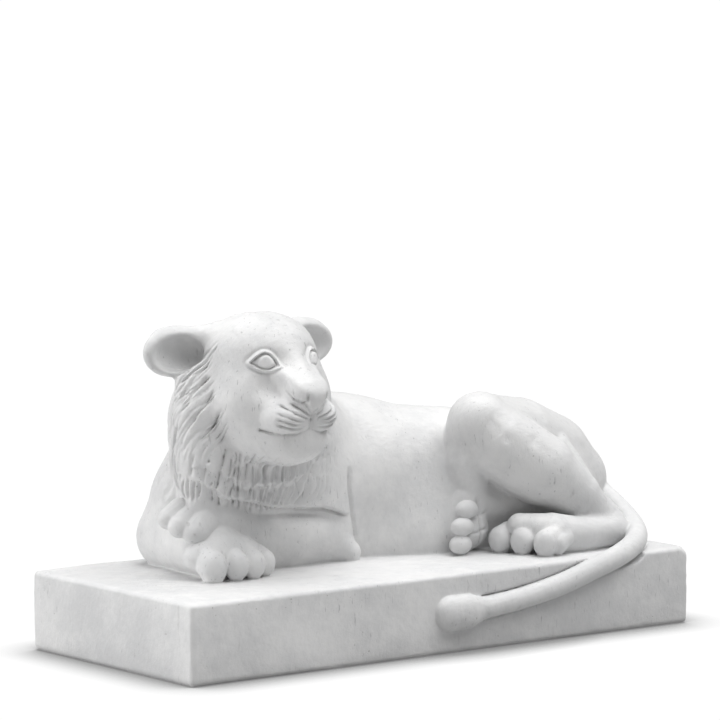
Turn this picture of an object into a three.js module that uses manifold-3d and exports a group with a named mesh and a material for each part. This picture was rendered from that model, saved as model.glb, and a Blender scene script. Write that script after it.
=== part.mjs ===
// A lion lying on its rectangular plinth, carved from one block of white marble.
// Millimetres, +Z up. The origin is the centre of the plinth's flat underside. The chest is at -X, the
// rump at +X, and the head is turned a quarter turn to look along -Y, over the plinth's long side.
import * as THREE from "three";
import { mergeVertices } from "three/addons/utils/BufferGeometryUtils.js";
import Module from "manifold-3d";

const wasm = await Module();
wasm.setup();

// Driving sizes
const PLINTH = { length: 600, depth: 267, height: 76.5, bevel: 3 };
const HEAD_X = -132; // middle plane of the turned head
const EYE = { out: 28, y: -40, z: 284 };
const EAR = { out: 74, y: 30, z: 289, long: 36, thick: 14, tall: 24 };
const TAIL_R = 10.5;
const EMBED = 12; // how far the lion's mesh reaches into the plinth before the two are joined

// ---- the carving as a field: below zero is stone, above zero is air, in mm

// min(a, b) with its corner rounded over a length k
function smoothMin(a, b, k) {
  const h = k > 0 ? Math.max(k - Math.abs(a - b), 0) / k : 0;
  return Math.min(a, b) - (h * h * k) / 4;
}

// An ellipsoid with centre c, radii r and turns in degrees about x, y and z
function ellipsoid(c, r, turn = [0, 0, 0]) {
  const [a, b, d] = turn.map(THREE.MathUtils.degToRad);
  const m = new THREE.Matrix4().makeRotationFromEuler(new THREE.Euler(a, b, d, "ZYX"));
  const e = m.elements;
  const reach = [0, 1, 2].map((i) => Math.hypot(e[i] * r[0], e[4 + i] * r[1], e[8 + i] * r[2]));
  const distance = (x, y, z) => {
    const p = [x - c[0], y - c[1], z - c[2]];
    const u = [0, 1, 2].map((i) => e[4 * i] * p[0] + e[4 * i + 1] * p[1] + e[4 * i + 2] * p[2]);
    const q = Math.hypot(u[0] / r[0], u[1] / r[1], u[2] / r[2]);
    const g = Math.hypot(u[0] / r[0] ** 2, u[1] / r[1] ** 2, u[2] / r[2] ** 2);
    return (q * (q - 1)) / Math.max(g, 1e-6);
  };
  return { lo: c.map((v, i) => v - reach[i]), hi: c.map((v, i) => v + reach[i]), distance };
}

// A chain of tapered rods through points [x, y, z, radius]; flat stretches its round section along each axis
function limb(points, flat = [1, 1, 1]) {
  const least = Math.min(...flat);
  const rods = points.slice(1).map((b, i) => {
    const a = points[i];
    const d = flat.map((s, j) => (b[j] - a[j]) / s);
    return { a, d, dd: d[0] ** 2 + d[1] ** 2 + d[2] ** 2, ra: a[3], dr: b[3] - a[3] };
  });
  const distance = (x, y, z) => {
    let best = Infinity;
    for (const { a, d, dd, ra, dr } of rods) {
      const p = [(x - a[0]) / flat[0], (y - a[1]) / flat[1], (z - a[2]) / flat[2]];
      const t = THREE.MathUtils.clamp((p[0] * d[0] + p[1] * d[1] + p[2] * d[2]) / dd, 0, 1);
      const gap = Math.hypot(p[0] - t * d[0], p[1] - t * d[1], p[2] - t * d[2]);
      best = Math.min(best, (gap - ra - t * dr) * least);
    }
    return best;
  };
  const lo = [0, 1, 2].map((j) => Math.min(...points.map((p) => p[j] - p[3] * flat[j])));
  const hi = [0, 1, 2].map((j) => Math.max(...points.map((p) => p[j] + p[3] * flat[j])));
  return { lo, hi, distance };
}

const steps = []; // masses melted into the field or cut from it
const extras = []; // small geometries joined on afterwards
const hollows = []; // geometries cut away last
const add = (shape, k) => steps.push({ ...shape, k, sign: 1 });
const cut = (shape, k) => steps.push({ ...shape, k, sign: -1 });

function field(x, y, z) {
  let f = 60;
  for (const { lo, hi, distance, k, sign } of steps) {
    const pad = k + 14;
    if (x < lo[0] - pad || x > hi[0] + pad) continue;
    if (y < lo[1] - pad || y > hi[1] + pad) continue;
    if (z < lo[2] - pad || z > hi[2] + pad) continue;
    f = sign * smoothMin(sign * f, distance(x, y, z), k);
  }
  return f;
}

// ---- the lion

// Ribs, belly, back and pelvis
function trunk() {
  const spine = [[-105, 66, 148, 74], [-30, 64, 150, 77], [60, 60, 146, 73], [130, 46, 144, 68],
    [180, 30, 146, 62]];
  add(limb(spine, [1, 0.9, 1]), 10);
  add(limb([[-60, 62, 104, 44], [10, 54, 100, 43], [80, 30, 102, 51], [150, 20, 112, 55]]), 26);
  add(limb([[-6, 50, 84, 40], [40, 38, 84, 44], [84, 18, 86, 44]]), 16);
  add(ellipsoid([222, 6, 130], [70, 58, 58]), 16);
  add(ellipsoid([252, 2, 136], [44, 40, 38]), 10);
  add(ellipsoid([-6, 72, 192], [84, 46, 40]), 20);
}

// The neck and the short mane under the turned head
function neck() {
  add(ellipsoid([-118, 40, 215], [80, 56, 76]), 24);
  add(ellipsoid([-72, 44, 196], [62, 48, 58]), 24);
  add(ellipsoid([HEAD_X, 20, 186], [80, 46, 62]), 16);
  for (const s of [-1, 1]) {
    const x = (out) => HEAD_X + s * out;
    add(limb([[x(62), 10, 262, 20], [x(64), 6, 232, 24], [x(62), 4, 196, 24], [x(56), 4, 160, 22]]), 16);
  }
}

// Shoulders, chest, and the crossed forearms with their paws
function forequarters() {
  add(ellipsoid([-154, 72, 128], [44, 44, 58]), 18);
  add(ellipsoid([-48, 38, 164], [40, 42, 70]), 20);
  add(limb([[-38, 26, 160, 32], [-36, 18, 108, 28]]), 14);
  cut(limb([[-250, -30, 112, 24], [-70, -30, 106, 24]], [1, 1.2, 1]), 2);
  add(limb([[-172, 84, 104, 34], [-180, 36, 102, 29], [-184, -8, 100, 28]]), 12);
  add(limb([[-22, 6, 84, 13], [-44, 15, 104, 27], [-90, 15, 104, 28], [-140, 11, 111, 25],
    [-176, 2, 122, 18]]), 3);
  add(limb([[-28, 15, 86, 17], [-90, 18, 88, 21], [-140, 18, 92, 22]]), 9);
  add(limb([[-168, 0, 126, 22], [-190, 4, 140, 21]]), 4);
  add(ellipsoid([-184, -18, 98], [43, 28, 24]), 6);
  for (const [x, r] of [[-214, 14.5], [-191, 12.5], [-170, 12], [-152, 10.5]]) {
    toe([x, -34, 92], [r, r + 8, r + 5], [-24, 0, 0]);
  }
  toe([-204, -8, 122], [19, 13, 11], [0, 14, 0]);
  toe([-212, 5, 133], [16, 10, 12], [0, 32, 0]);
  toe([-216, 17, 140], [16, 10, 12], [0, 32, 0]);
}

// The near hind leg folded with its knee up and heel at the tail; the far hind foot on its edge
function hindquarters() {
  add(limb([[232, 4, 158, 44], [185, -4, 180, 42], [126, -20, 200, 32]]), 14);
  add(limb([[122, -24, 201, 31], [138, -34, 182, 36], [178, -50, 155, 36], [216, -66, 126, 26],
    [244, -80, 100, 14]]), 12);
  cut(limb([[250, -44, 172, 7], [257, -54, 142, 11], [264, -64, 112, 13]]), 9);
  add(limb([[214, -38, 176, 10], [235, -66, 127, 9], [246, -84, 98, 13]]), 6);
  add(limb([[244, -84, 93, 15], [196, -84, 97, 19], [152, -78, 100, 22]], [1, 1.1, 1]), 8);
  for (const [x, y, r] of [[125, -54, 12.5], [134, -77, 12.5], [144, -100, 12.5], [157, -103, 9.5]]) {
    toe([x + 4, y, 90.5], [r + 5, r, r + 1.5], [0, -14, 0]);
  }
  add(limb([[104, -22, 124, 18], [100, -24, 96, 20]], [1.3, 0.8, 1]), 8);
  add(limb([[108, -22, 126, 16], [170, -20, 112, 22]]), 10);
  for (const [x, y, z] of [[94, -36, 120], [86, -38, 104], [84, -40, 87]]) {
    toe([x, y, z], [12, 9, 9.5], [0, 0, 0]);
  }
}

// Skull, cheeks, muzzle, nose, chin, eyes and the two cupped ears
function head() {
  const x = (out) => HEAD_X + out;
  add(ellipsoid([x(0), 2, 270], [60, 58, 54]), 12);
  add(ellipsoid([x(0), -18, 284], [48, 40, 38]), 14);
  add(ellipsoid([x(0), -14, 238], [58, 50, 50]), 14);
  add(limb([[x(0), -34, 240, 36], [x(0), -66, 236, 28]], [1.1, 1, 1]), 16);
  add(limb([[x(0), -44, 286, 18], [x(0), -82, 258, 15]], [1.15, 1, 1]), 12);
  add(ellipsoid([x(0), -34, 212], [46, 42, 28]), 12);
  add(ellipsoid([x(0), -60, 207], [31, 28, 22]), 8);
  extras.push(ball([x(0), -88, 247], [15, 12, 9]));
  for (const s of [-1, 1]) {
    add(ellipsoid([x(36 * s), -24, 248], [29, 34, 36]), 16);
    cut(ellipsoid([x(20 * s), -78, 284], [10, 18, 12]), 12);
    extras.push(ball([x(EYE.out * s), EYE.y, EYE.z], [14, 14, 12]));
    extras.push(ball([x(17 * s), -76, 230], [18, 19, 15]));
    add(limb([[x(36 * s), EAR.y - 14, EAR.z + 14, 14], [x(EAR.out * s), EAR.y, EAR.z + 8, 11]]), 10);
    const tilt = [0, 0, -8 * s];
    extras.push(ball([x(EAR.out * s), EAR.y, EAR.z], [EAR.long, EAR.thick, EAR.tall], tilt, 14));
    const bowl = [EAR.long - 7, EAR.thick + 3, EAR.tall - 6];
    hollows.push(ball([x((EAR.out + 4) * s), EAR.y - 12, EAR.z - 1], bowl, tilt, 14));
  }
}

// From the rump, round the heel, over the plinth's front edge and along its face to a round tuft
function tail() {
  const face = -PLINTH.depth / 2;
  const line = [[262, 30, 140, 1.4], [277, 6, 132, 1.4], [279, -26, 120, 1.2], [276, -58, 104, 1.1],
    [264, -90, 91, 1.1], [240, -116, 83, 1.05], [212, face + 2, 76, 1], [184, face - 2, 69, 1],
    [134, face - 1, 55, 1], [84, face, 46, 1], [44, face, 41, 1], [14, face, 39, 1]];
  extras.push(tube(line, TAIL_R, 30, 10));
  extras.push(ball([10, face, 39.5], [24, 13.5, 17], [0, 0, 0], 12));
}

// The lion stops a little way inside the plinth, on every side
function stopInsidePlinth() {
  const half = [PLINTH.length / 2 - EMBED, PLINTH.depth / 2 - EMBED, PLINTH.height - EMBED];
  const distance = (x, y, z) => Math.max(Math.abs(x) - half[0], Math.abs(y) - half[1], z - half[2]);
  cut({ lo: [-half[0], -half[1], -200], hi: half, distance }, 0);
}

// ---- the pieces too small for the field's grid, as three.js geometries

// A stretched and turned sphere
function ball(centre, radii, turn = [0, 0, 0], sides = 10) {
  const [a, b, c] = turn.map(THREE.MathUtils.degToRad);
  const place = new THREE.Matrix4().makeRotationFromEuler(new THREE.Euler(a, b, c, "ZYX"));
  place.setPosition(...centre);
  const sphere = new THREE.SphereGeometry(1, sides, Math.round(sides * 0.7));
  return sphere.rotateX(Math.PI / 2).scale(...radii).applyMatrix4(place);
}

function toe(centre, radii, turn) {
  extras.push(ball(centre, radii, turn, 8));
}

// A round tube along points [x, y, z, share of radius], closed at both ends
function tube(points, radius, rings, sides) {
  const curve = new THREE.CatmullRomCurve3(points.map(([x, y, z]) => new THREE.Vector3(x, y, z)));
  const frames = curve.computeFrenetFrames(rings, false);
  const position = [];
  const index = [];
  for (let i = 0; i <= rings; i++) {
    const centre = curve.getPointAt(i / rings);
    const along = curve.getUtoTmapping(i / rings) * (points.length - 1);
    const low = Math.min(Math.floor(along), points.length - 2);
    const share = THREE.MathUtils.lerp(points[low][3], points[low + 1][3], along - low);
    for (let j = 0; j < sides; j++) {
      const angle = (2 * Math.PI * j) / sides;
      const out = frames.normals[i].clone().multiplyScalar(Math.cos(angle));
      out.addScaledVector(frames.binormals[i], Math.sin(angle));
      position.push(...centre.clone().addScaledVector(out, radius * share));
      if (i === rings) continue;
      const [p, q] = [i * sides + j, i * sides + ((j + 1) % sides)];
      index.push(p, q, p + sides, q, q + sides, p + sides);
    }
  }
  const last = rings * sides;
  for (let j = 1; j < sides - 1; j++) index.push(0, j + 1, j, last, last + j, last + j + 1);
  const geometry = new THREE.BufferGeometry();
  geometry.setAttribute("position", new THREE.BufferAttribute(new Float32Array(position), 3));
  geometry.setIndex(index);
  return geometry;
}

// ---- the field's zero surface as a closed mesh

// Grid positions from runs of [from, to, step]
function spaced(runs) {
  const out = [runs[0][0]];
  for (const [from, to, step] of runs) {
    const n = Math.round((to - from) / step);
    for (let i = 1; i <= n; i++) out.push(from + ((to - from) * i) / n);
  }
  return out;
}

const CORNERS = [[0, 0, 0], [1, 0, 0], [0, 1, 0], [1, 1, 0], [0, 0, 1], [1, 0, 1], [0, 1, 1], [1, 1, 1]];
const EDGES = [[0, 1], [2, 3], [4, 5], [6, 7], [0, 2], [1, 3], [4, 6], [5, 7], [0, 4], [1, 5], [2, 6], [3, 7]];

// One point in each cell that the surface crosses, and one quad round each crossed grid edge
function surface(axes) {
  const n = axes.map((a) => a.length);
  const at = (i, j, k) => (i * n[1] + j) * n[2] + k;
  const f = new Float32Array(n[0] * n[1] * n[2]);
  for (let i = 0; i < n[0]; i++) {
    for (let j = 0; j < n[1]; j++) {
      for (let k = 0; k < n[2]; k++) f[at(i, j, k)] = field(axes[0][i], axes[1][j], axes[2][k]);
    }
  }
  fillPinches(f, n, at);
  const ids = new Map();
  const points = [];
  for (let i = 0; i < n[0] - 1; i++) {
    for (let j = 0; j < n[1] - 1; j++) {
      for (let k = 0; k < n[2] - 1; k++) {
        const p = cellPoint(f, axes, at, [i, j, k]);
        if (!p) continue;
        ids.set(at(i, j, k), points.length / 3);
        points.push(...p);
      }
    }
  }
  const faces = [];
  for (let i = 1; i < n[0] - 1; i++) {
    for (let j = 1; j < n[1] - 1; j++) {
      for (let k = 1; k < n[2] - 1; k++) {
        const inside = f[at(i, j, k)] < 0;
        const ring = (cells) => cells.map((c) => ids.get(at(...c)));
        const rings = [
          [f[at(i + 1, j, k)] < 0, [[i, j - 1, k - 1], [i, j, k - 1], [i, j, k], [i, j - 1, k]]],
          [f[at(i, j + 1, k)] < 0, [[i - 1, j, k - 1], [i - 1, j, k], [i, j, k], [i, j, k - 1]]],
          [f[at(i, j, k + 1)] < 0, [[i - 1, j - 1, k], [i, j - 1, k], [i, j, k], [i - 1, j, k]]],
        ];
        for (const [beyond, cells] of rings) {
          if (beyond === inside) continue;
          const q = ring(cells);
          if (!inside) q.reverse();
          faces.push(...split(points, q));
        }
      }
    }
  }
  return { points: new Float32Array(points), faces: new Uint32Array(faces) };
}

// Air points that would let the surface touch itself across a cell's face become stone
function fillPinches(f, n, at) {
  const pairs = [[0, 1], [0, 2], [1, 2]];
  for (let changed = true; changed; ) {
    changed = false;
    for (let i = 1; i < n[0] - 2; i++) {
      for (let j = 1; j < n[1] - 2; j++) {
        for (let k = 1; k < n[2] - 2; k++) {
          for (const [a, b] of pairs) {
            const u = [i, j, k].map((v, d) => v + (d === a ? 1 : 0));
            const v = [i, j, k].map((w, d) => w + (d === b ? 1 : 0));
            const w = [i, j, k].map((q, d) => q + (d === a || d === b ? 1 : 0));
            const [p00, p10, p01, p11] = [[i, j, k], u, v, w].map((c) => at(...c));
            const diagonal = f[p00] < 0 === f[p11] < 0 && f[p10] < 0 === f[p01] < 0;
            if (!diagonal || f[p00] < 0 === f[p10] < 0) continue;
            f[f[p00] < 0 ? p10 : p00] = -0.5;
            changed = true;
          }
        }
      }
    }
  }
}

// The mean of the surface's crossings on a cell's edges, moved onto the field's zero inside the cell
function cellPoint(f, axes, at, cell) {
  const sum = new THREE.Vector3();
  let count = 0;
  for (const [a, b] of EDGES) {
    const [ca, cb] = [CORNERS[a], CORNERS[b]].map((c) => c.map((v, d) => v + cell[d]));
    const [fa, fb] = [f[at(...ca)], f[at(...cb)]];
    if (fa < 0 === fb < 0) continue;
    const [pa, pb] = [ca, cb].map((c) => new THREE.Vector3(axes[0][c[0]], axes[1][c[1]], axes[2][c[2]]));
    sum.add(pa.lerp(pb, fa / (fa - fb)));
    count++;
  }
  if (!count) return null;
  const p = sum.divideScalar(count);
  const low = new THREE.Vector3(axes[0][cell[0]], axes[1][cell[1]], axes[2][cell[2]]);
  const high = new THREE.Vector3(axes[0][cell[0] + 1], axes[1][cell[1] + 1], axes[2][cell[2] + 1]);
  const margin = high.clone().sub(low).multiplyScalar(0.08);
  for (let pass = 0; pass < 3; pass++) {
    const here = field(p.x, p.y, p.z);
    const slope = new THREE.Vector3(
      field(p.x + 0.5, p.y, p.z) - field(p.x - 0.5, p.y, p.z),
      field(p.x, p.y + 0.5, p.z) - field(p.x, p.y - 0.5, p.z),
      field(p.x, p.y, p.z + 0.5) - field(p.x, p.y, p.z - 0.5),
    );
    p.addScaledVector(slope, (-0.7 * here) / Math.max(slope.lengthSq(), 0.2));
    p.clamp(low.clone().add(margin), high.clone().sub(margin));
  }
  return [p.x, p.y, p.z];
}

// A quad as two triangles, split along its shorter diagonal
function split(points, [a, b, c, d]) {
  const gap = (i, j) => Math.hypot(...[0, 1, 2].map((n) => points[3 * i + n] - points[3 * j + n]));
  return gap(a, c) < gap(b, d) ? [a, b, c, a, c, d] : [a, b, d, b, c, d];
}

// ---- the plinth: a rectangle with bevelled edges

function plinthGeometry() {
  const { length, depth, height, bevel } = PLINTH;
  const [hx, hy] = [length / 2 - bevel, depth / 2 - bevel];
  const outline = new THREE.Shape();
  outline.moveTo(-hx, -hy).lineTo(hx, -hy).lineTo(hx, hy).lineTo(-hx, hy).closePath();
  const options = { depth: height - 2 * bevel, bevelThickness: bevel, bevelSize: bevel, bevelSegments: 2 };
  return new THREE.ExtrudeGeometry(outline, options).translate(0, 0, bevel);
}

function solidOf(geometry) {
  const bare = new THREE.BufferGeometry().setAttribute("position", geometry.getAttribute("position"));
  bare.setIndex(geometry.index);
  const merged = mergeVertices(bare, 1e-3);
  const triVerts = new Uint32Array(merged.index.array);
  const vertProperties = new Float32Array(merged.attributes.position.array);
  return new wasm.Manifold(new wasm.Mesh({ numProp: 3, vertProperties, triVerts }));
}

trunk();
neck();
forequarters();
hindquarters();
head();
tail();
stopInsidePlinth();

const carved = surface([
  spaced([[-260, -20, 11.8], [-20, 88, 18], [88, 304, 14.6]]),
  spaced([[-124, 32, 11.2], [32, 152, 17]]),
  spaced([[44, 68, 12], [68, 190, 12.2], [190, 346, 12]]),
]);
const lionGeometry = new THREE.BufferGeometry();
lionGeometry.setAttribute("position", new THREE.BufferAttribute(carved.points, 3));
lionGeometry.setIndex(new THREE.BufferAttribute(carved.faces, 1));

let stone = solidOf(plinthGeometry()).add(solidOf(lionGeometry));
for (const piece of extras) stone = stone.add(solidOf(piece));
for (const hollow of hollows) stone = stone.subtract(solidOf(hollow));
const block = stone.getMesh();
const geometry = new THREE.BufferGeometry();
geometry.setAttribute("position", new THREE.BufferAttribute(new Float32Array(block.vertProperties), 3));
geometry.setIndex(new THREE.BufferAttribute(new Uint32Array(block.triVerts), 1));
geometry.computeVertexNormals();

const marble = new THREE.MeshStandardMaterial({ color: 0xdad9d7, roughness: 0.55, metalness: 0 });
const lion = new THREE.Mesh(geometry, marble);
lion.name = "lion_on_plinth";

const group = new THREE.Group();
group.add(lion);
export default group;
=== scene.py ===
"""A recumbent lion and its plinth, carved in one block of white marble.

The block is a field on a grid of points: below zero is stone and above zero is air. Masses are melted
together into it, lines are cut in it, and its zero surface is then turned into one closed mesh.
Lengths are in mm while carving, and in metres once the mesh is made.
"""
import math

import bpy
import numpy as np
from mathutils import Matrix, Vector


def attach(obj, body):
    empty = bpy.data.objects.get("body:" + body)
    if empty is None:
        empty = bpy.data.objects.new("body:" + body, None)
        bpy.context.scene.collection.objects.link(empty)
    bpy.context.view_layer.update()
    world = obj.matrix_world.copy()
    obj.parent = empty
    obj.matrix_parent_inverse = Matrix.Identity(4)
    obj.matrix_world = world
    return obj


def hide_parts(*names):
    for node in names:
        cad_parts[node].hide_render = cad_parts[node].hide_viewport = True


PLINTH = (600.0, 267.0, 76.5)
HEAD_X = -132.0
EDGE_ROUND = 4.5
TRIANGLES, QUICK_TRIANGLES = 192000, 60000
CAMERA_DISTANCE = 4.0
FOCAL_LENGTH = 4109 / 720 * 36
FLOOR_GLOW, FLOOR_DIMMER = 1.03, 0.45


# ---------------------------------------------------------------- the block of stone

def smooth_min(a, b, k):
    """min(a, b) with its corner rounded over k: min(a, b) - h*h*k/4, where h = max(k - |a - b|, 0)/k."""
    low = np.minimum(a, b)
    if k <= 0:
        return low
    h = np.maximum(k - np.abs(a - b), 0) / k
    return low - h * h * (k / 4)


def turn(rx=0.0, ry=0.0, rz=0.0):
    """The 3 x 3 matrix Rz*Ry*Rx of turns in degrees about x, then y, then z."""
    a, b, c = (math.radians(v) for v in (rx, ry, rz))
    mx = np.array([[1, 0, 0], [0, math.cos(a), -math.sin(a)], [0, math.sin(a), math.cos(a)]])
    my = np.array([[math.cos(b), 0, math.sin(b)], [0, 1, 0], [-math.sin(b), 0, math.cos(b)]])
    mz = np.array([[math.cos(c), -math.sin(c), 0], [math.sin(c), math.cos(c), 0], [0, 0, 1]])
    return mz @ my @ mx


def ellipsoid(c, r, m=None):
    """Distance to an ellipsoid with centre c, radii r and turn m: q*(q - 1)/|p/r^2|, where q = |p/r|."""
    c, r = np.array(c, np.float32), np.array(r, np.float32)
    m = np.eye(3, dtype=np.float32) if m is None else m.astype(np.float32)
    reach = np.sqrt((m * m) @ (r * r))

    def field(x, y, z):
        """q*(q - 1)/|p/r^2| in the ellipsoid's own turned axes."""
        p = [x - c[0], y - c[1], z - c[2]]
        u = [m[0, i] * p[0] + m[1, i] * p[1] + m[2, i] * p[2] for i in range(3)]
        q = np.sqrt((u[0] / r[0]) ** 2 + (u[1] / r[1]) ** 2 + (u[2] / r[2]) ** 2)
        g = np.sqrt((u[0] / r[0] ** 2) ** 2 + (u[1] / r[1] ** 2) ** 2 + (u[2] / r[2] ** 2) ** 2)
        return q * (q - 1) / np.maximum(g, 1e-6)

    return c - reach, c + reach, field


def limb(points, flat=(1, 1, 1)):
    """Distance to a chain of tapered rods through points (x, y, z, radius).
    For a rod from a to b it is |p - a - t(b - a)| - (ra + t(rb - ra)), with
    t = clip((p - a).(b - a)/|b - a|^2). flat stretches the round section along each axis."""
    pts = np.array(points, np.float32)
    s = np.array(flat, np.float32)
    lo = (pts[:, :3] - pts[:, 3:] * s).min(0)
    hi = (pts[:, :3] + pts[:, 3:] * s).max(0)

    def field(x, y, z):
        """The least of the distances to the rods."""
        best = None
        for a, b in zip(pts[:-1], pts[1:]):
            d = (b[:3] - a[:3]) / s
            px, py, pz = (x - a[0]) / s[0], (y - a[1]) / s[1], (z - a[2]) / s[2]
            t = np.clip((px * d[0] + py * d[1] + pz * d[2]) / float(d @ d), 0, 1)
            gap = np.sqrt((px - t * d[0]) ** 2 + (py - t * d[1]) ** 2 + (pz - t * d[2]) ** 2)
            gap = (gap - (a[3] + t * (b[3] - a[3]))) * float(s.min())
            best = gap if best is None else np.minimum(best, gap)
        return best

    return lo, hi, field


class Block:
    """The block of stone. f holds, at each grid point, about how far outside the stone it is."""

    def __init__(self, xs, ys, zs):
        """An empty grid at the positions xs, ys, zs: all air, f = 60."""
        self.axes = [np.asarray(a, np.float32) for a in (xs, ys, zs)]
        self.f = np.full([len(a) for a in self.axes], 60.0, np.float32)

    def room(self, lo, hi, pad):
        """The part of the grid within pad of the box lo..hi, and its x, y and z as broadcastable arrays."""
        cut = tuple(slice(max(0, int(np.searchsorted(a, l - pad)) - 1),
                          int(np.searchsorted(a, h + pad)) + 1)
                    for a, l, h in zip(self.axes, lo, hi))
        x, y, z = (a[c] for a, c in zip(self.axes, cut))
        return cut, (x[:, None, None], y[None, :, None], z[None, None, :])

    def add(self, shape, k=0.0):
        """Melts a shape on: f = smooth_min(f, shape, k)."""
        lo, hi, field = shape
        cut, grid = self.room(lo, hi, k + 6)
        self.f[cut] = smooth_min(self.f[cut], field(*grid), k)

    def cut(self, shape, k=0.0):
        """Carves a shape away: f = -smooth_min(-f, shape, k)."""
        lo, hi, field = shape
        cut, grid = self.room(lo, hi, k + 6)
        self.f[cut] = -smooth_min(-self.f[cut], field(*grid), k)

    def press(self, lo, hi, change):
        """f += change(x, y, z) inside the box lo..hi: positive carves in, negative raises."""
        cut, grid = self.room(lo, hi, 0)
        self.f[cut] += change(*grid)

    def groove(self, points, width, depth, through=(0, 0, 0)):
        """Cuts a rounded line along points (x, y, z): f += depth*fade*exp(-d^2/width^2), where d is the
        distance to the line, counted only a sixth along the unit vector through, and fade falls to 0.3 at
        both ends."""
        pts, n = np.array(points, np.float32), np.array(through, np.float32)
        cut, (x, y, z) = self.room(pts.min(0), pts.max(0), 3 * width + 8 * float(np.abs(n).max()))
        best = fade = None
        for i, (a, b) in enumerate(zip(pts[:-1], pts[1:])):
            d = b - a
            px, py, pz = x - a[0], y - a[1], z - a[2]
            t = np.clip((px * d[0] + py * d[1] + pz * d[2]) / float(d @ d), 0, 1)
            qx, qy, qz = px - t * d[0], py - t * d[1], pz - t * d[2]
            g = qx * qx + qy * qy + qz * qz - 0.97 * (qx * n[0] + qy * n[1] + qz * n[2]) ** 2
            s = (i + t) / (len(pts) - 1)
            w = np.minimum(1, 7 * np.minimum(s, 1 - s) + 0.3)
            if best is None:
                best, fade = g, w
            else:
                best, fade = np.minimum(best, g), np.where(g < best, w, fade)
        self.f[cut] += depth * fade * np.exp(-best / (width * width))


def spaced(stops, scale):
    """Grid positions from (from, to, step) runs, each cut evenly with a step of about step*scale."""
    out = [np.array([stops[0][0]])]
    for a, b, step in stops:
        n = max(1, int(round((b - a) / (step * scale))))
        out.append(a + (b - a) * np.arange(1, n + 1) / n)
    return np.concatenate(out)


def both_sides(points, x0=HEAD_X):
    """The points as given, and mirrored in the head's own middle plane: x' = 2*x0 - x."""
    return [points, [(2 * x0 - p[0], *p[1:]) for p in points]]


def flowing(points, between=5):
    """More points along a smooth line through the given ones: Catmull-Rom, on every column at once."""
    p = np.array(points, float)
    p = np.vstack([2 * p[0] - p[1], p, 2 * p[-1] - p[-2]])
    t = (np.arange(between) / between)[:, None]
    runs = [0.5 * (2 * b + (c - a) * t + (2 * a - 5 * b + 4 * c - d) * t ** 2 + (3 * b - a - 3 * c + d)
                   * t ** 3)
            for a, b, c, d in zip(p[:-3], p[1:-2], p[2:-1], p[3:])]
    return np.vstack(runs + [p[-2:-1]])


# ---------------------------------------------------------------- the lion

def carve_trunk(b):
    """Ribs, belly, back and pelvis, one chain of wide sections lying on the plinth."""
    b.add(limb([(-105, 66, 148, 74), (-30, 64, 150, 77), (60, 60, 146, 73), (130, 46, 144, 68),
                (180, 30, 146, 62)], (1, 0.9, 1)), 10)
    b.add(limb([(-60, 62, 104, 44), (10, 54, 100, 43), (80, 30, 102, 51), (150, 20, 112, 55)]), 26)
    b.add(limb([(-6, 50, 84, 40), (40, 38, 84, 44), (84, 18, 86, 44)]), 16)
    b.add(ellipsoid((222, 6, 130), (70, 58, 58)), 16)
    b.add(ellipsoid((252, 2, 136), (44, 40, 38)), 10)
    b.add(ellipsoid((-6, 72, 192), (84, 46, 40)), 20)


def carve_hind_legs(b):
    """The near leg folded with its knee up, heel at the tail and foot forward.
    The far foot lies on its edge."""
    b.add(limb([(232, 4, 158, 44), (185, -4, 180, 42), (126, -20, 200, 32)]), 8)
    b.add(limb([(114, -16, 188, 21), (109, -20, 164, 19), (114, -22, 134, 16)]), 7)
    b.add(limb([(122, -24, 201, 31), (138, -34, 182, 36), (178, -50, 155, 36), (214, -64, 128, 24),
                (242, -78, 102, 12)]), 5)
    b.groove([(112, -40, 208), (124, -50, 190), (140, -60, 176)], 5, 1.8, (0, -1, 0))
    b.groove([(136, -40, 206), (152, -58, 186), (172, -70, 166)], 6, 1.8, (0, -1, 0))
    b.cut(limb([(250, -44, 172, 7), (257, -54, 142, 11), (264, -64, 112, 13)]), 9)
    b.add(limb(flowing([(214, -38, 176, 9), (224, -50, 157, 8), (235, -66, 127, 8), (246, -80, 106, 10),
                        (246, -84, 92, 13)])), 5)
    b.add(limb([(246, -84, 92, 14), (196, -84, 92, 18), (165, -84, 96, 20), (140, -66, 103, 13)],
               (1, 1.1, 1)), 7)
    for x, y, z, r in ((125, -54, 90, 12.5), (134, -77, 90, 12.5), (144, -100, 89.5, 12.5),
                       (156, -104, 88, 9.5)):
        b.add(limb([(x + 12, y + 3, z + 5, r * 0.85), (x, y, z, r)], (1, 0.95, 1.1)), 1.5)
    b.add(ellipsoid((156, -76, 92), (15, 22, 13)), 2)
    b.add(limb([(109, -22, 127, 16), (105, -24, 98, 20)], (1.2, 0.95, 1)), 1.2)
    b.add(limb([(112, -22, 126, 15), (170, -20, 112, 22)]), 4)
    for x, y, z in ((95, -38, 120), (87, -41, 104), (84, -42, 87)):
        b.add(ellipsoid((x, y, z), (12.5, 9, 9.5)), 1)
    b.groove([(108, -40, 130), (110, -40, 106), (110, -42, 82)], 1.6, 3, (0, -1, 0))
    b.groove([(96, -40, 112), (108, -40, 113), (122, -38, 116)], 1.3, 2, (0, -1, 0))
    b.groove([(90, -42, 96), (104, -42, 97), (118, -40, 100)], 1.3, 2, (0, -1, 0))


def carve_shoulders(b):
    """Both shoulders and upper arms."""
    b.add(ellipsoid((-154, 72, 128), (44, 44, 58)), 18)
    b.add(ellipsoid((-48, 38, 164), (40, 42, 70)), 20)
    b.add(limb([(-38, 26, 160, 32), (-36, 18, 108, 28)]), 14)


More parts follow.
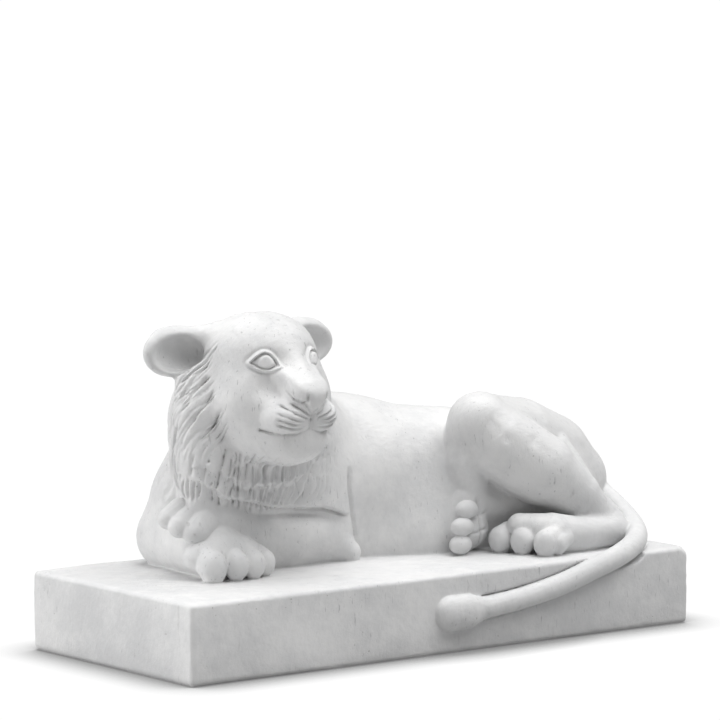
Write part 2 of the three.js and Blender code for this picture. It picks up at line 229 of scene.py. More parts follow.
def carve_forelegs(b):
    """The hollow under the ruff, and in it the crossed forearms with their paws."""
    b.cut(limb([(-250, -30, 112, 24), (-70, -30, 106, 24)], (1, 1.2, 1)), 2)
    b.add(limb([(-172, 84, 104, 34), (-180, 36, 102, 29), (-184, -8, 100, 27)]), 12)
    b.add(limb([(-22, 0, 85, 12.5), (-46, 13, 104, 26), (-90, 15, 104, 28), (-140, 11, 111, 25),
                (-176, 2, 122, 18)]), 2.5)
    b.add(limb([(-28, 15, 86, 17), (-90, 18, 88, 21), (-140, 18, 92, 22)]), 9)
    b.add(ellipsoid((-182, -13, 98), (42, 27, 21)), 5)
    for x, y, z, r in ((-207, -35, 90.5, 13.5), (-184, -40, 91, 12), (-164, -40, 90.5, 11.5),
                       (-147, -35, 90, 10)):
        b.add(limb([(x * 0.98 - 3, y + 14, z + 6, r * 0.9), (x, y, z, r)], (1, 1, 1.25)), 0.8)
    b.add(limb([(-150, 8, 124, 20), (-180, 2, 132, 19)]), 6)
    b.add(ellipsoid((-192, 2, 139), (20, 15, 17), turn(0, 20, 0)), 4)
    b.add(limb([(-196, -5, 130, 14), (-208, -9, 122, 13)], (1.1, 1, 1)), 1)
    b.add(limb([(-208, 3, 134, 11), (-220, 1, 127, 11)], (1, 1, 1.05)), 1)
    b.add(limb([(-212, 14, 141, 10), (-226, 12, 133, 9.5)], (1, 1, 1.05)), 1)


def carve_elbow(b):
    """The crease down the back of the near upper arm, to the elbow on the plinth."""
    b.groove([(-27, -8, 166), (-27, -9, 146), (-22, -9, 122), (-14, -8, 100), (-6, -4, 84)], 2.6, 5,
             (0, -1, 0))


def carve_neck(b):
    """The neck and the short mane: one full, square-shouldered mass that carries the turned head."""
    b.add(ellipsoid((-118, 40, 215), (80, 56, 76)), 24)
    b.add(ellipsoid((-72, 44, 196), (62, 48, 58)), 24)
    b.add(ellipsoid((HEAD_X, 20, 186), (80, 46, 62)), 16)
    for pts in both_sides([(-194, 10, 262, 20), (-196, 6, 232, 24), (-194, 4, 196, 24),
                           (-188, 4, 160, 22)]):
        b.add(limb(pts), 16)


def carve_head(b):
    """Skull, cheeks, broad muzzle, nose, whisker pads and chin, facing -Y."""
    x = HEAD_X
    b.add(ellipsoid((x, 2, 270), (60, 58, 54)), 12)
    b.add(ellipsoid((x, -18, 284), (48, 40, 39)), 14)
    b.add(ellipsoid((x, -14, 238), (56, 50, 50)), 14)
    b.add(limb([(x, -30, 236, 38), (x, -58, 234, 31)], (1.18, 1, 0.95)), 18)
    b.add(limb([(x, -42, 288, 18), (x, -80, 256, 15)], (1.3, 1, 1)), 14)
    b.add(ellipsoid((x, -36, 213), (47, 42, 29)), 12)
    b.add(ellipsoid((x, -58, 207), (32, 30, 22)), 10)
    for s in (-1, 1):
        b.add(ellipsoid((x + 31 * s, -24, 245), (28, 35, 34)), 16)
        b.cut(ellipsoid((x + 20 * s, -79, 284), (7, 16, 12), turn(0, 14 * s, 0)), 13)
        b.cut(ellipsoid((x + 39 * s, -78, 262), (17, 17, 9), turn(0, -18 * s, 0)), 14)
        b.add(ellipsoid((x + 16 * s, -70, 231.5), (22, 25.5, 17)), 5)
    b.add(ellipsoid((x, -80, 253), (17, 17, 11), turn(-20, 0, 0)), 9)
    b.add(nose(x), 8)
    b.groove([(x, 18, 330), (x, -22, 324), (x, -50, 303)], 6, 1.6, (0, 0, 1))


def nose(x):
    """The nose as the space behind five planes: its flat front, its sloping top, two sides that close
    downwards, and its foot. f is the rounded maximum of the distances to them."""
    def over(a, b, k=6):
        """max(a, b) with its corner rounded over k."""
        return -smooth_min(-a, -b, k)

    def field(u, y, z):
        """The rounded maximum of the distances to the front, top, sides and foot."""
        front = (y + 101) * -0.94 + (z - 250) * -0.33
        top = (y + 97) * -0.55 + (z - 259) * 0.835
        side = (np.abs(u - x) - 9.5 - 0.42 * (z - 242)) * 0.92
        foot = 234 - z
        return over(over(front, top, 7), over(side, foot, 3), 10)

    return (x - 26, -106, 230), (x + 26, -34, 306), field


def carve_ears(b):
    """A shallow cup each side, open to the front, its upper edge running into the top of the skull."""
    x = HEAD_X
    for s in (-1, 1):
        b.add(limb([(x + 36 * s, 14, 302, 13), (x + 86 * s, 30, 300, 9)]), 10)
        c = np.array((x + 74 * s, 30, 289.0))
        b.add(ellipsoid(c, (36, 14, 24), turn(0, 0, -8 * s)), 8)
        b.cut(ellipsoid(c + (3 * s, -15, -2.5), (30, 15, 18), turn(0, 0, -8 * s)), 5)


def carve_eyes(b):
    """Almond eyes in raised lids, each with a raised iris disc.
    In an eye's own plane u runs to its outer corner and v up. With t = (u + 13.5)/27 and
    base = 3.5*t - 5, the lids are base + 11.5*sin(pi*t^0.8) and base - 5*sin(pi*t).
    edge is the distance outside them, and negative inside."""
    t = np.linspace(0, 1, 15)
    base = 3.5 * t - 5
    upper = np.stack([27 * t - 13.5, base + 11.5 * np.sin(np.pi * t ** 0.8)], 1)
    lower = np.stack([27 * t - 13.5, base - 5 * np.sin(np.pi * t)], 1)

    def far(line, u, v):
        """The distance in the eye's plane from (u, v) to the nearest run of a line."""
        best = None
        for a, c in zip(line[:-1], line[1:]):
            d = c - a
            w = np.clip(((u - a[0]) * d[0] + (v - a[1]) * d[1]) / (d @ d), 0, 1)
            g = (u - a[0] - w * d[0]) ** 2 + (v - a[1] - w * d[1]) ** 2
            best = g if best is None else np.minimum(best, g)
        return np.sqrt(best)

    for s, out, lean in ((-1, 28.5, 0.42), (1, 25.0, 0.28)):
        c = np.array((HEAD_X + out * s, -53.0, 283.3))
        n = np.array((lean * s, -0.9, 0.08))
        n /= np.linalg.norm(n)
        across = np.cross(n, (0, 0, 1)) * -s
        across /= np.linalg.norm(across)
        up = np.cross(n, across)
        up *= np.sign(up[2])

        def change(x, y, z):
            """The eye's relief, fading by exp(-(w/11)^4) at w in front of or behind its plane."""
            p = [x - c[0], y - c[1], z - c[2]]
            u = p[0] * across[0] + p[1] * across[1] + p[2] * across[2]
            v = p[0] * up[0] + p[1] * up[1] + p[2] * up[2]
            w = p[0] * n[0] + p[1] * n[1] + p[2] * n[2]
            du, dl = far(upper, u, v), far(lower, u, v)
            opened = (v < np.interp(u, *upper.T)) & (v > np.interp(u, *lower.T)) & (np.abs(u) < 13.5)
            edge = np.minimum(du, dl) * np.where(opened, -1, 1)
            lid = np.where(du < dl, 1.0, 0.8)
            rim = -2.4 * lid * np.exp(-((edge - 0.9) / 1.2) ** 2)
            trench = 1.9 * np.exp(-((edge + 1.4) / 1.0) ** 2)
            crease = 0.9 * lid * np.exp(-((edge - 3.7) / 1.3) ** 2)
            r = np.hypot(u + 2.0, v + 0.5)
            ball = -0.6 * np.exp(-(r / 9) ** 4) * opened
            iris = -1.8 / (1 + np.exp((r - 6.6) / 0.35))
            return np.exp(-(w / 11) ** 4) * (rim + trench + crease + ball + iris)

        b.press(c - 22, c + 22, change)


def carve_muzzle(b):
    """The nose leather, the nostrils, the cleft under them, the whisker lines, and the mouth."""
    x = HEAD_X

    def out(points, s):
        """Points on the head's side s: x = HEAD_X + s*offset."""
        return [(x + s * p[0], p[1], p[2]) for p in points]

    for s in (-1, 1):
        side = (0.5 * s, -0.86, 0)
        b.groove(out([(21, -80, 256), (18.5, -88, 250), (14, -95, 246.5), (10, -98, 248.5),
                      (9.5, -98, 254)], s),
                 1.2, 3.6, side)
        b.groove(out([(11, -98, 248), (9, -98, 243), (5, -96, 238), (1, -95, 234)], s), 1.1, 2.6,
                 (0, -1, 0))
        for a in ([(21, -86, 245), (14, -92, 240), (4, -95, 233)],
                  [(29, -78, 244), (19, -90, 236), (5, -94, 230)],
                  [(32, -80, 236), (19, -93, 230), (6, -94, 228)],
                  [(33, -80, 231), (20, -93, 226), (6, -93, 226)],
                  [(32, -79, 226), (20, -90, 222), (8, -92, 223)]):
            b.groove(out(a, s), 1.35, 3.3, side)
        b.groove(out([(0, -93, 223.5), (6, -91, 219.5), (15, -88, 216.5), (24, -80, 216),
                      (32, -69, 217.5)], s),
                 1.1, 3.2, side)
        b.groove(out([(30, -71, 217), (34, -64, 218.5), (38, -58, 220)], s), 1.4, 3.4, side)
    b.groove([(x, -97, 240), (x, -95, 230), (x, -93, 221)], 1.7, 6, (0, -1, 0))


def carve_ruff(b):
    """Two hanging layers of hair under the chin, and the deep line below them.
    At height h over a layer's lower edge it stands out by depth*exp(-h/fall), and below the edge by
    depth*exp(h/1.2). The edge's height is read from its own curve along x."""
    tiers = (([-212, -203, -183, -165, -146, -126, -112, -97, -88, -70],
              [186, 182, 174, 167, 162, 162, 163, 167, 174, 186],
              3.2, 15, 1.6),
             ([-214, -200, -179, -148, -118, -87, -56, -33], [176, 166, 152, 147, 139, 136, 133, 125],
              4.5, 13, 0.3))
    for xs, zs, depth, fall, rough in tiers:
        def change(x, y, z, xs=xs, zs=zs, depth=depth, fall=fall, rough=rough):
            """The layer's raised step, kept to the front by 1/(1 + exp((y - 8)/4)) and faded at both ends
            in the same way."""
            wave = rough * (np.sin(x * 0.42) + 0.7 * np.sin(x * 0.93 + 1.3))
            h = z - np.interp(x, xs, zs) - wave
            step = np.where(h > 0, np.exp(-np.maximum(h, 0) / fall), np.exp(h / 1.2))
            front = 1 / (1 + np.exp((y - 8) / 4.0))
            ends = 1 / (1 + np.exp((xs[0] - x) / 4.0)) / (1 + np.exp((x - xs[-1]) / 4.0))
            return -depth * step * front * ends

        b.press((-226, -60, 112), (-20, 40, 232), change)
    b.groove([(-186, -17, 153), (-148, -15, 145), (-118, -11, 137), (-87, -6, 133), (-56, -9, 131),
              (-30, -10, 122)], 1.5, 4.5, (0, -1, 0))


def hair(b, strokes):
    """Cuts hair strokes (angle0, z0, angle1, z1, bend, width, depth) into the mane.
    Angles are in degrees round the upright line through (HEAD_X, 20), 0 facing +X and -90 facing -Y.
    f += depth*fade*near*exp(-(R*(a - line)/width)^2 - (past/1.5)^2), where R is the distance from the
    upright line, past the height beyond the stroke's ends, and near fades out over R = 88."""
    lo, hi = (-236, -70, 96), (0, 112, 336)
    cut, (x, y, z) = b.room(lo, hi, 0)
    reach = np.hypot(x - HEAD_X, y - 20)
    angle = np.degrees(np.arctan2(y - 20, x - HEAD_X))
    angle = np.where(angle > 20, angle - 360, angle)
    near = 1 / (1 + np.exp((reach - 88) / 4))
    f = b.f[cut]
    z1 = b.axes[2][cut[2]]
    for a0, top, a1, low, bend, width, depth in strokes:
        k = slice(*np.searchsorted(z1, (low - 3, top + 3)))
        if k.start >= k.stop:
            continue
        zz = z[..., k]
        t = np.clip((top - zz) / (top - low), 0, 1)
        line = a0 + (a1 - a0) * t + bend * np.sin(np.pi * t)
        off = np.radians(angle - line) * reach
        past = np.maximum(np.abs(zz - (top + low) / 2) - (top - low) / 2, 0)
        fade = np.minimum(1, 6 * np.minimum(t, 1 - t) + 0.15)
        f[..., k] += depth * fade * near * np.exp(-(off / width) ** 2 - (past / 1.5) ** 2)


def carve_mane(b):
    """The mane's hair: rows of strokes that start on one line round the face and fall to another.
    A row is (angles along that line, top z there, drop, turn in degrees, count, width, depth), and each
    stroke is shifted a little at random from a fixed seed. The left half is mirrored to the right:
    angle' = -180 - angle. Three rows of the ruff and five of the nape follow, given by their top z."""
    rng = np.random.default_rng(4)
    rows = (([-147, -155, -150, -140, -134], [300, 280, 262, 242, 226], 28, -17, 22, 1.05, 1.8),
            ([-158, -166, -161, -154], [290, 262, 240, 222], 32, -15, 20, 1.05, 1.8),
            ([-172, -178, -174, -168], [300, 262, 236, 214], 40, -12, 24, 1.2, 1.9),
            ([-190, -196, -194, -186, -180], [290, 250, 222, 196, 176], 46, -8, 20, 1.3, 1.6),
            ([-208, -212, -208, -204, -200], [280, 244, 214, 190, 168], 46, -8, 15, 1.5, 1.2))
    strokes = []
    for angles, tops, drop, sweep, count, width, depth in rows:
        s = np.linspace(0, 1, count)
        marks = np.linspace(0, 1, len(angles))
        for side in (0, 1):
            a = np.interp(s, marks, angles) + rng.normal(0, 1.2, count)
            z = np.interp(s, marks, tops) + rng.normal(0, 4, count)
            d = drop * rng.uniform(0.6, 1.25, count)
            g = sweep * rng.uniform(0.7, 1.3, count)
            deep = depth * rng.uniform(0.5, 1.25, count)
            bend = rng.normal(0, 0.6, count)
            if side:
                a, g = -180 - a, -g
            strokes += list(zip(a, z, a + g, z - d, bend, np.full(count, width), deep))
    for tops, drop, count, width, depth in (([198, 192, 186, 187, 186, 184, 190, 198], 25, 42, 1.25, 3.0),
                                            ([176, 170, 162, 162, 160, 160, 164, 172], 24, 40, 1.25, 3.2),
                                            ([206, 204, 196, 194, 192, 192, 196, 206], 14, 34, 1.1, 2.2)):
        a = np.linspace(-178, 4, count) + rng.normal(0, 1.3, count)
        z = np.interp(a, np.linspace(-178, 4, len(tops)), tops) + rng.normal(0, 2, count)
        strokes += list(zip(a, z, a + 0.03 * (a + 100) - 1.5, z - drop * rng.uniform(0.8, 1.15, count),
                            rng.normal(0, 1.5, count), np.full(count, width),
                            depth * rng.uniform(0.7, 1.1, count)))
    for top in (302, 276, 248, 220, 194):
        a = np.linspace(-332, -212, 27) + rng.normal(0, 1.5, 27)
        strokes += list(zip(a, top + rng.normal(0, 5, 27), a + rng.normal(0, 2, 27),
                            top - 34 + rng.normal(0, 4, 27),
                            rng.normal(0, 1.5, 27), np.full(27, 1.4), np.full(27, 1.5)))
    hair(b, strokes)


def carve_tail(b):
    """From the rump, round the heel, over the plinth's front edge and along its face to the tuft, with a
    narrow trench beside it where it lies on the stone."""
    line = flowing([(268, 14, 142, 17), (277, -22, 122, 13), (277, -58, 105, 11.5), (266, -92, 92, 11),
                    (243, -118, 84, 11), (212, -132, 76, 10.8), (180, -135.5, 67.5, 10.5),
                    (134, -135.5, 54.5, 10.5),
                    (84, -135, 45.5, 10.3), (40, -135, 41, 10.5)])
    low = line[line[:, 0] < 235]
    low = low[np.argmax(low[:, 1] < -120):]
    b.cut(limb(low + (0, -5, 0, 4)), 1)
    b.cut(limb([(38, -140, 40.5, 14), (18, -140, 39.5, 20), (-2, -140, 39, 20.5)], (1, 0.72, 1)), 1)
    b.add(limb(line), 1.5)
    b.add(limb([(38, -135, 40.5, 11), (18, -135, 39.5, 16.5), (-2, -134, 39, 17)], (1, 0.7, 1)), 2)


def carve_plinth(b):
    """The rectangular block: a box with rounded edges.
    Its distance is |max(q, 0)| + min(max(q), 0) - r, with q = |p| - (h - r)."""
    h = np.array(PLINTH, np.float32) / 2
    r = EDGE_ROUND

    def field(x, y, z):
        """The rounded box, with low waves in its faces that die out towards the underside."""
        q = [np.abs(x) - (h[0] - r), np.abs(y) - (h[1] - r), np.abs(z - h[2]) - (h[2] - r)]
        out = np.sqrt(sum(np.maximum(v, 0) ** 2 for v in q))
        wave = 0.35 * np.sin(x * 0.05 + y * 0.03) + 0.3 * np.sin(x * 0.021 - z * 0.06
                                                                 + 1) + 0.2 * np.sin(y * 0.09)
        return out + np.minimum(np.maximum(np.maximum(q[0], q[1]), q[2]), 0) - r + wave * np.clip(z / 12,
                                                                                                  0, 1)

    b.add(((-h[0], -h[1], 0), (h[0], h[1], 2 * h[2]), field), 3)


def wear_corners(b):
    """The rubbed corner, and small chips along the top and upright edges from a fixed seed."""
    rng = np.random.default_rng(11)
    hx, hy, top = PLINTH[0] / 2, PLINTH[1] / 2, PLINTH[2]
    b.cut(ellipsoid((hx + 1, -hy - 1, top + 1), (9, 8, 6)), 5)
    b.cut(ellipsoid((110, -hy, top), (4.5, 2.6, 2.2)), 1)
    for side in (-1, 1):
        for x in rng.uniform(-hx, hx, 9):
            b.cut(ellipsoid((x, side * hy, top), (rng.uniform(2, 6), 1.8, rng.uniform(1.2, 2.4))), 1.5)
        for y in rng.uniform(-hy, hy, 5):
            b.cut(ellipsoid((side * hx, y, top), (1.8, rng.uniform(2, 6), rng.uniform(1.2, 2.4))), 1.5)
        for z in rng.uniform(0, top, 4):
            b.cut(ellipsoid((side * hx, -hy, z), (2.2, 2.2, rng.uniform(2, 6))), 1.5)


def skin(b):
    """The block's zero surface as (points, quads).
    Each grid cell that the surface crosses has one point, the mean of its crossings on the cell's edges,
    where a crossing between values u and v lies at u/(u - v) of the way. Each crossed grid edge gives one
    quad between the points of the four cells round it."""
    f = b.f
    inside = f < 0
    n = inside.astype(np.uint8)
    for axis in range(3):
        n = np.take(n, range(n.shape[axis] - 1), axis) + np.take(n, range(1, n.shape[axis]), axis)
    active = (n > 0) & (n < 8)
    cells = np.argwhere(active)
    ids = np.full(active.shape, -1, np.int32)
    ids[active] = np.arange(len(cells), dtype=np.int32)
    total, count = np.zeros((len(cells), 3)), np.zeros(len(cells))
    i, j, k = cells.T
    for axis in range(3):
        step = np.eye(3, dtype=int)[axis]
        for p in range(2):
            for q in range(2):
                off = np.roll([0, p, q], axis)
                lo = (i + off[0], j + off[1], k + off[2])
                hi = (lo[0] + step[0], lo[1] + step[1], lo[2] + step[2])
                u, v = f[lo], f[hi]
                crossed = (u < 0) != (v < 0)
                t = np.where(crossed, u / np.where(crossed, u - v, 1), 0)
                for a in range(3):
                    start, end = b.axes[a][lo[a]], b.axes[a][hi[a]]
                    total[:, a] += np.where(crossed, start + t * (end - start), 0)
                count += crossed
    points = total / count[:, None]
    quads = []
    for axis in range(3):
        a, c = (axis + 1) % 3, (axis + 2) % 3
        lo_in = np.take(inside, range(inside.shape[axis] - 1), axis)
        hi_in = np.take(inside, range(1, inside.shape[axis]), axis)
        at = np.argwhere(lo_in != hi_in)
        leaving = lo_in[tuple(at.T)]
        ring = []
        for da, dc in ((-1, -1), (0, -1), (0, 0), (-1, 0)):
            cell = at.copy()
            cell[:, a] += da
            cell[:, c] += dc
            ring.append(ids[tuple(cell.T)])
        ring = np.stack(ring, 1)
        quads.append(np.where(leaving[:, None], ring, ring[:, ::-1]))
    return points, np.concatenate(quads)


def carve(scale):
    """The whole block, carved, as (points in metres, quads). scale coarsens the grid."""
    b = Block(spaced([(-308, -255, 4), (-255, -60, 0.9), (-60, -20, 1.2), (-20, 290, 1.5),
                      (290, 308, 2.5)], scale),
              spaced([(-154, -108, 1.6), (-108, -40, 0.9), (-40, 40, 1.1), (40, 130, 2.2),
                      (130, 142, 2)], scale),
              spaced([(-6, 3, 2), (3, 24, 2.6), (24, 70, 1.5), (70, 205, 1.2), (205, 300, 0.9),
                      (300, 336, 1.3)], scale))
    carve_trunk(b)
    carve_neck(b)
    carve_shoulders(b)
    carve_hind_legs(b)
    carve_head(b)
    carve_ears(b)
    carve_eyes(b)
    carve_muzzle(b)
    carve_ruff(b)
    carve_mane(b)
    carve_forelegs(b)
    carve_elbow(b)
    carve_plinth(b)
    wear_corners(b)
    carve_tail(b)
    points, quads = skin(b)
    return points / 1000, quads


def mesh_object(name, points, quads):
    """A Blender object from numpy points and quads, smooth shaded."""
    me = bpy.data.meshes.new(name)
    me.vertices.add(len(points))
    me.vertices.foreach_set("co", points.astype(np.float32).ravel())
    me.loops.add(quads.size)
    me.loops.foreach_set("vertex_index", quads.astype(np.int32).ravel())
    me.polygons.add(len(quads))
    me.polygons.foreach_set("loop_start", np.arange(0, quads.size, 4, dtype=np.int32))
    me.update(calc_edges=True)
    me.polygons.foreach_set("use_smooth", np.ones(len(quads), bool))
    obj = bpy.data.objects.new(name, me)
    bpy.context.scene.collection.objects.link(obj)
    return obj


def thin_out(obj, triangles):
    """Merges points where the surface is flattest until about that many triangles are left."""
    have = 2 * len(obj.data.polygons)
    if have <= triangles:
        return
    mod = obj.modifiers.new("thin_out", "DECIMATE")
    mod.ratio = triangles / have
    bpy.context.view_layer.update()
    me = bpy.data.meshes.new_from_object(obj.evaluated_get(bpy.context.evaluated_depsgraph_get()))
    obj.modifiers.remove(mod)
    old = obj.data
    obj.data = me
    bpy.data.meshes.remove(old)


# ---------------------------------------------------------------- material

def new_group(name, ins, outs):
    """An empty shader group with the named inputs (name, kind, value) and outputs (name, kind)."""
    g = bpy.data.node_groups.new(name, "ShaderNodeTree")
    for label, kind, value in ins:
        s = g.interface.new_socket(name=label, in_out="INPUT", socket_type="NodeSocket" + kind)
        if value is not None:
            s.default_value = value
    for label, kind in outs:
        g.interface.new_socket(name=label, in_out="OUTPUT", socket_type="NodeSocket" + kind)
    return g, g.nodes.new("NodeGroupInput"), g.nodes.new("NodeGroupOutput")


def node(tree, kind, links=(), **settings):
    """A shader node with its settings. Its inputs are linked from (input, socket) or set from
    (input, value)."""
    n = tree.nodes.new("ShaderNode" + kind)
    for key, value in settings.items():
        setattr(n, key, value)
    for key, source in links:
        if isinstance(source, bpy.types.NodeSocket):
            tree.links.new(source, n.inputs[key])
        else:
            n.inputs[key].default_value = source
    return n


def math_node(tree, operation, a, b=0.0):
    """The output of one Math node: the operation on a and b."""
    return node(tree, "Math", [(0, a), (1, b)], operation=operation).outputs[0]


def band(tree, value, low, high):
    """0 below low, 1 above high, and smooth between; low may be the larger to turn it round."""
    links = [("Value", value), ("From Min", low), ("From Max", high)]
    return node(tree, "MapRange", links, interpolation_type="SMOOTHSTEP").outputs[0]


def noise(tree, place, scale, detail, rough=0.5):
    """The value 0..1 of a noise of that scale at a place."""
    links = [("Vector", place), ("Scale", scale), ("Detail", detail), ("Roughness", rough)]
    return node(tree, "TexNoise", links).outputs["Fac"]


def turned(tree, place, angles, stretch):
    """A place turned by the angles and multiplied by stretch."""
    return node(tree, "Mapping", [("Vector", place), ("Rotation", angles), ("Scale", stretch)]).outputs[0]


def veins_group():
    """Short slanting flecks in patches: a noise stretched along the bedding, times a broad noise."""
    g, i, o = new_group("slanting_veins", [("Position", "Vector", None), ("Scale", "Float", 1.0),
                                           ("Patch Size", "Float", 9.0), ("Cover", "Float", 0.56)],
                        [("Mask", "Float")])
    lean = turned(g, i.outputs["Position"], (0.15, 0.45, 0.3), (5.0, 5.0, 1.0))
    fine = noise(g, lean, math_node(g, "MULTIPLY", i.outputs["Scale"], 70.0), 4, 0.6)
    lines = band(g, fine, 0.61, 0.72)
    broad = noise(g, i.outputs["Position"], i.outputs["Patch Size"], 3, 0.6)
    patch = band(g, math_node(g, "SUBTRACT", broad, i.outputs["Cover"]), -0.06, 0.1)
    g.links.new(math_node(g, "MULTIPLY", lines, patch), o.inputs["Mask"])
    return g


def mottle_group():
    """Cloudy grey of the stone: two noises, a hand wide and a finger wide, mixed and brought to 0..1."""
    g, i, o = new_group("cloudy_mottle", [("Position", "Vector", None), ("Broad", "Float", 8.0),
                                          ("Fine", "Float", 45.0)], [("Mask", "Float")])
    a = noise(g, i.outputs["Position"], i.outputs["Broad"], 5, 0.55)
    b = noise(g, i.outputs["Position"], i.outputs["Fine"], 6, 0.65)
    both = math_node(g, "ADD", math_node(g, "MULTIPLY", a, 0.6), math_node(g, "MULTIPLY", b, 0.4))
    g.links.new(band(g, both, 0.38, 0.62), o.inputs["Mask"])
    return g


def wear_and_shade_group():
    """From the pointiness, where the carving stands out (Edge, for paler wear), and where it sinks in
    (Hollow, for painted shade in the hollows)."""
    g, i, o = new_group("edge_wear_and_hollow_shade", [("Edge Start", "Float", 0.52),
                                               ("Hollow Start", "Float", 0.485)],
                        [("Edge", "Float"), ("Hollow", "Float")])
    point = node(g, "NewGeometry").outputs["Pointiness"]
    edge = band(g, math_node(g, "SUBTRACT", point, i.outputs["Edge Start"]), 0.0, 0.07)
    # painted shade: the mask of the hollows, where the colour is darkened to stand in for shade
    hollow_shade = band(g, math_node(g, "SUBTRACT", i.outputs["Hollow Start"], point), 0.0, 0.09)
    g.links.new(edge, o.inputs["Edge"])
    g.links.new(hollow_shade, o.inputs["Hollow"])
    return g


def pits_group():
    """Small pits: round cells of a Voronoi pattern nearer than Size, kept where a broad noise is high."""
    g, i, o = new_group("pits", [("Position", "Vector", None), ("Scale", "Float", 170.0),
                                 ("Size", "Float", 0.17), ("Cover", "Float", 0.58)], [("Mask", "Float")])
    warp = node(g, "TexNoise", [("Vector", i.outputs["Position"]), ("Scale", 120.0)]).outputs["Color"]
    shift = node(g, "VectorMath", [(0, warp), (1, (0.006, 0.006, 0.006))], operation="MULTIPLY").outputs[0]
    place = node(g, "VectorMath", [(0, i.outputs["Position"]), (1, shift)], operation="ADD").outputs[0]
    cell = node(g, "TexVoronoi", [("Vector", place), ("Scale", i.outputs["Scale"])]).outputs["Distance"]
    dots = band(g, math_node(g, "SUBTRACT", i.outputs["Size"], cell), 0.0, 0.1)
    kept = band(g, math_node(g, "SUBTRACT", noise(g, i.outputs["Position"], 22.0, 4),
                             i.outputs["Cover"]), 0, 0.06)
    g.links.new(math_node(g, "MULTIPLY", dots, kept), o.inputs["Mask"])
    return g


def marble():
    """White marble: cloudy grey, slanting flecks, painted shade in the hollows, paler worn edges, and pits.
    """
    m = bpy.data.materials.new("white_marble")
    m.use_nodes = True
    t = m.node_tree
    p = t.nodes["Principled BSDF"]
    place = node(t, "TexCoord").outputs["Object"]

    def use(group, *values):
        """The outputs of a copy of the group, fed with the place and set from (input, value)."""
        n = t.nodes.new("ShaderNodeGroup")
        n.node_tree = group
        for key, value in values:
            n.inputs[key].default_value = value
        if "Position" in n.inputs:
            t.links.new(place, n.inputs["Position"])
        return n.outputs

    veins = use(veins_group(), ("Scale", 1.0), ("Patch Size", 11.0), ("Cover", 0.5))["Mask"]
    smudge = use(bpy.data.node_groups["slanting_veins"], ("Scale", 0.4), ("Patch Size", 17.0),
                 ("Cover", 0.56))["Mask"]
    cloud = use(mottle_group())["Mask"]
    wear_and_shade = use(wear_and_shade_group())
    pits = use(pits_group())["Mask"]

    def mix(color, mask, amount, over):
        """color moved towards over by the share mask*amount."""
        share = math_node(t, "MULTIPLY", mask, amount)
        n = node(t, "Mix", [(0, share)], data_type="RGBA")
        if isinstance(color, bpy.types.NodeSocket):
            t.links.new(color, n.inputs[6])
        else:
            n.inputs[6].default_value = color
        n.inputs[7].default_value = over
        return n.outputs[2]

    color = mix((0.79, 0.788, 0.785, 1), cloud, 0.9, (0.66, 0.662, 0.666, 1))
    color = mix(color, wear_and_shade["Edge"], 0.5, (0.84, 0.835, 0.83, 1))
    # painted shade: the hollows of the carving are darkened in the colour, where shade falls in them
    color = mix(color, wear_and_shade["Hollow"], 0.6, (0.36, 0.35, 0.34, 1))
    color = mix(color, veins, 0.6, (0.33, 0.33, 0.34, 1))
    color = mix(color, smudge, 0.5, (0.4, 0.395, 0.39, 1))
    color = mix(color, pits, 0.55, (0.3, 0.29, 0.28, 1))
    t.links.new(color, p.inputs["Base Color"])
    rough = band(t, cloud, -1.6, 2.2)
    t.links.new(rough, p.inputs["Roughness"])
    grain = noise(t, place, 900.0, 3, 0.6)
    chisel = noise(t, turned(t, place, (0.4, 0.3, 0.9), (1.0, 2.5, 1.0)), 130.0, 4, 0.6)
    height = math_node(t, "ADD", math_node(t, "MULTIPLY", grain, 0.12),
                       math_node(t, "MULTIPLY", chisel, 1.0))
    height = math_node(t, "SUBTRACT", height, math_node(t, "MULTIPLY", pits, 0.6))
    height = math_node(t, "SUBTRACT", height, math_node(t, "MULTIPLY", veins, 0.3))
    bump = node(t, "Bump", [("Strength", 0.6), ("Distance", 0.0012), ("Height", height)])
    t.links.new(bump.outputs[0], p.inputs["Normal"])
    return m


# ---------------------------------------------------------------- room, light and camera

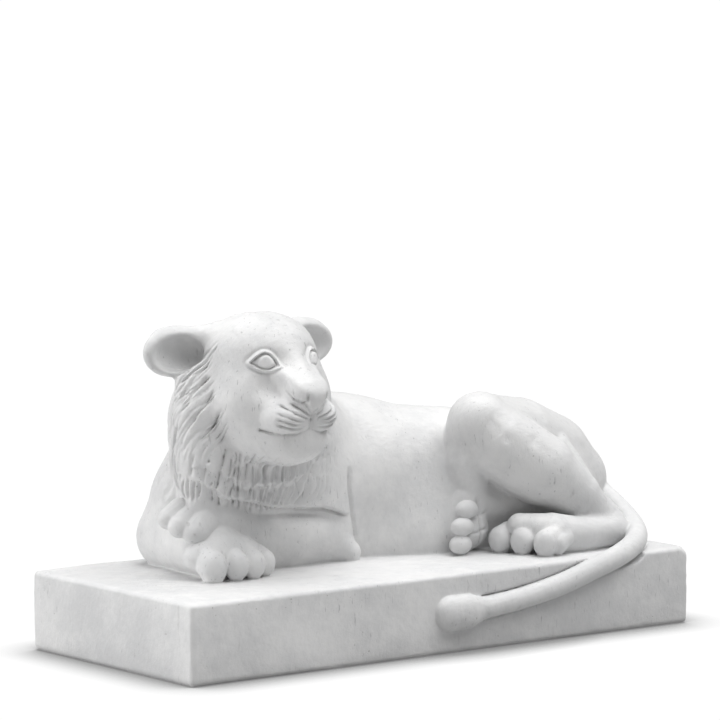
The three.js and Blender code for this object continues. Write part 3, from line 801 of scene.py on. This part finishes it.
def set_up():
    """A pale floor, a pale sky and two broad suns, one from above and one from the left.
    The floor gives off light and reflects none. Its glow is FLOOR_GLOW seen directly, and less by
    FLOOR_DIMMER for light scattered from the marble, and a painted contact shadow darkens its glow where
    the block stands close over it.
    The sky's strength at height z of the view direction is max(z, 0)^2.5."""
    scene = bpy.context.scene
    scene.view_settings.view_transform = "Standard"
    scene.view_settings.look = "None"
    floor = bpy.data.objects.new("floor", bpy.data.meshes.new("floor"))
    floor.data.from_pydata([(-90, -90, 0), (90, -90, 0), (90, 90, 0), (-90, 90, 0)], [], [(0, 1, 2, 3)])
    scene.collection.objects.link(floor)
    m = bpy.data.materials.new("floor")
    m.use_nodes = True
    t = m.node_tree
    p = t.nodes["Principled BSDF"]
    p.inputs["Base Color"].default_value = (0, 0, 0, 1)
    p.inputs["Roughness"].default_value = 1
    p.inputs["Specular IOR Level"].default_value = 0
    scattered = t.nodes.new("ShaderNodeLightPath").outputs["Is Diffuse Ray"]
    strength = math_node(t, "SUBTRACT", FLOOR_GLOW, math_node(t, "MULTIPLY", scattered, FLOOR_DIMMER))
    t.links.new(strength, p.inputs["Emission Strength"])
    # painted contact shadow: the floor's glow is darkened by ambient occlusion close to the block
    ao = t.nodes.new("ShaderNodeAmbientOcclusion")
    ao.inputs["Distance"].default_value = 0.055
    ao.samples = 8
    ramp = t.nodes.new("ShaderNodeValToRGB")
    e = ramp.color_ramp.elements
    e[0].position, e[0].color = 0.42, (0.25, 0.25, 0.25, 1)
    e[1].position, e[1].color = 0.97, (1, 1, 1, 1)
    t.links.new(ao.outputs["AO"], ramp.inputs[0])
    t.links.new(ramp.outputs[0], p.inputs["Emission Color"])
    floor.data.materials.append(m)
    world = bpy.data.worlds.new("studio")
    scene.world = world
    world.use_nodes = True
    w = world.node_tree
    sky = w.nodes["Background"]
    sky.inputs[0].default_value = (1, 1, 1, 1)
    height = node(w, "SeparateXYZ", [(0, node(w, "TexCoord").outputs["Generated"])]).outputs["Z"]
    glow = math_node(w, "POWER", math_node(w, "MAXIMUM", height, 0.0), 2.5)
    w.links.new(math_node(w, "MULTIPLY", glow, 1.0), sky.inputs[1])
    for name, strength, angle, toward in (("top", 2.7, 65, (0.18, -0.2, 1.0)),
                                          ("left", 3.0, 50, (-0.9, 0.6, 0.03))):
        light = bpy.data.lights.new(name, "SUN")
        light.energy = strength
        light.angle = math.radians(angle)
        lamp = bpy.data.objects.new(name, light)
        scene.collection.objects.link(lamp)
        lamp.rotation_euler = Vector(toward).to_track_quat("Z", "Y").to_euler()


def add_camera():
    """CAMERA_DISTANCE from the point it looks at, 37.18 degrees round to the left of the long side
    and 5.65 degrees up."""
    az, el, roll = (math.radians(v) for v in (-37.18, 5.65, -0.15))
    back = Vector((math.sin(az) * math.cos(el), -math.cos(az) * math.cos(el), math.sin(el)))
    right = Vector((math.cos(az), math.sin(az), 0))
    up = back.cross(right)
    r2 = right * math.cos(roll) + up * math.sin(roll)
    u2 = up * math.cos(roll) - right * math.sin(roll)
    aim = Vector((0, 0, 0.1)) + r2 * -0.006 + u2 * 0.1696
    cam = bpy.data.cameras.new("camera")
    cam.sensor_width = 36
    cam.lens = FOCAL_LENGTH
    cam.clip_start, cam.clip_end = 0.1, 100
    o = bpy.data.objects.new("camera", cam)
    bpy.context.scene.collection.objects.link(o)
    o.matrix_world = Matrix((r2, u2, back)).transposed().to_4x4()
    o.location = aim + back * CAMERA_DISTANCE
    bpy.context.scene.camera = o


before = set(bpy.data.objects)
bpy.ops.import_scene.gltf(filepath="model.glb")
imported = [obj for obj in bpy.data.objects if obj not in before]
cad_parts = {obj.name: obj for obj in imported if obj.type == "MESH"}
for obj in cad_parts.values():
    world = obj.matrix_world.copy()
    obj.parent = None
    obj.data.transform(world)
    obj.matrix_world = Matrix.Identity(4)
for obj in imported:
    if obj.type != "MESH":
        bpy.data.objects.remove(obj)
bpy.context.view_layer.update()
block = mesh_object("marble_lion", *carve(1.0))
thin_out(block, TRIANGLES)
block.data.materials.append(marble())
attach(block, "root")
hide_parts("lion_on_plinth")
set_up()
add_camera()
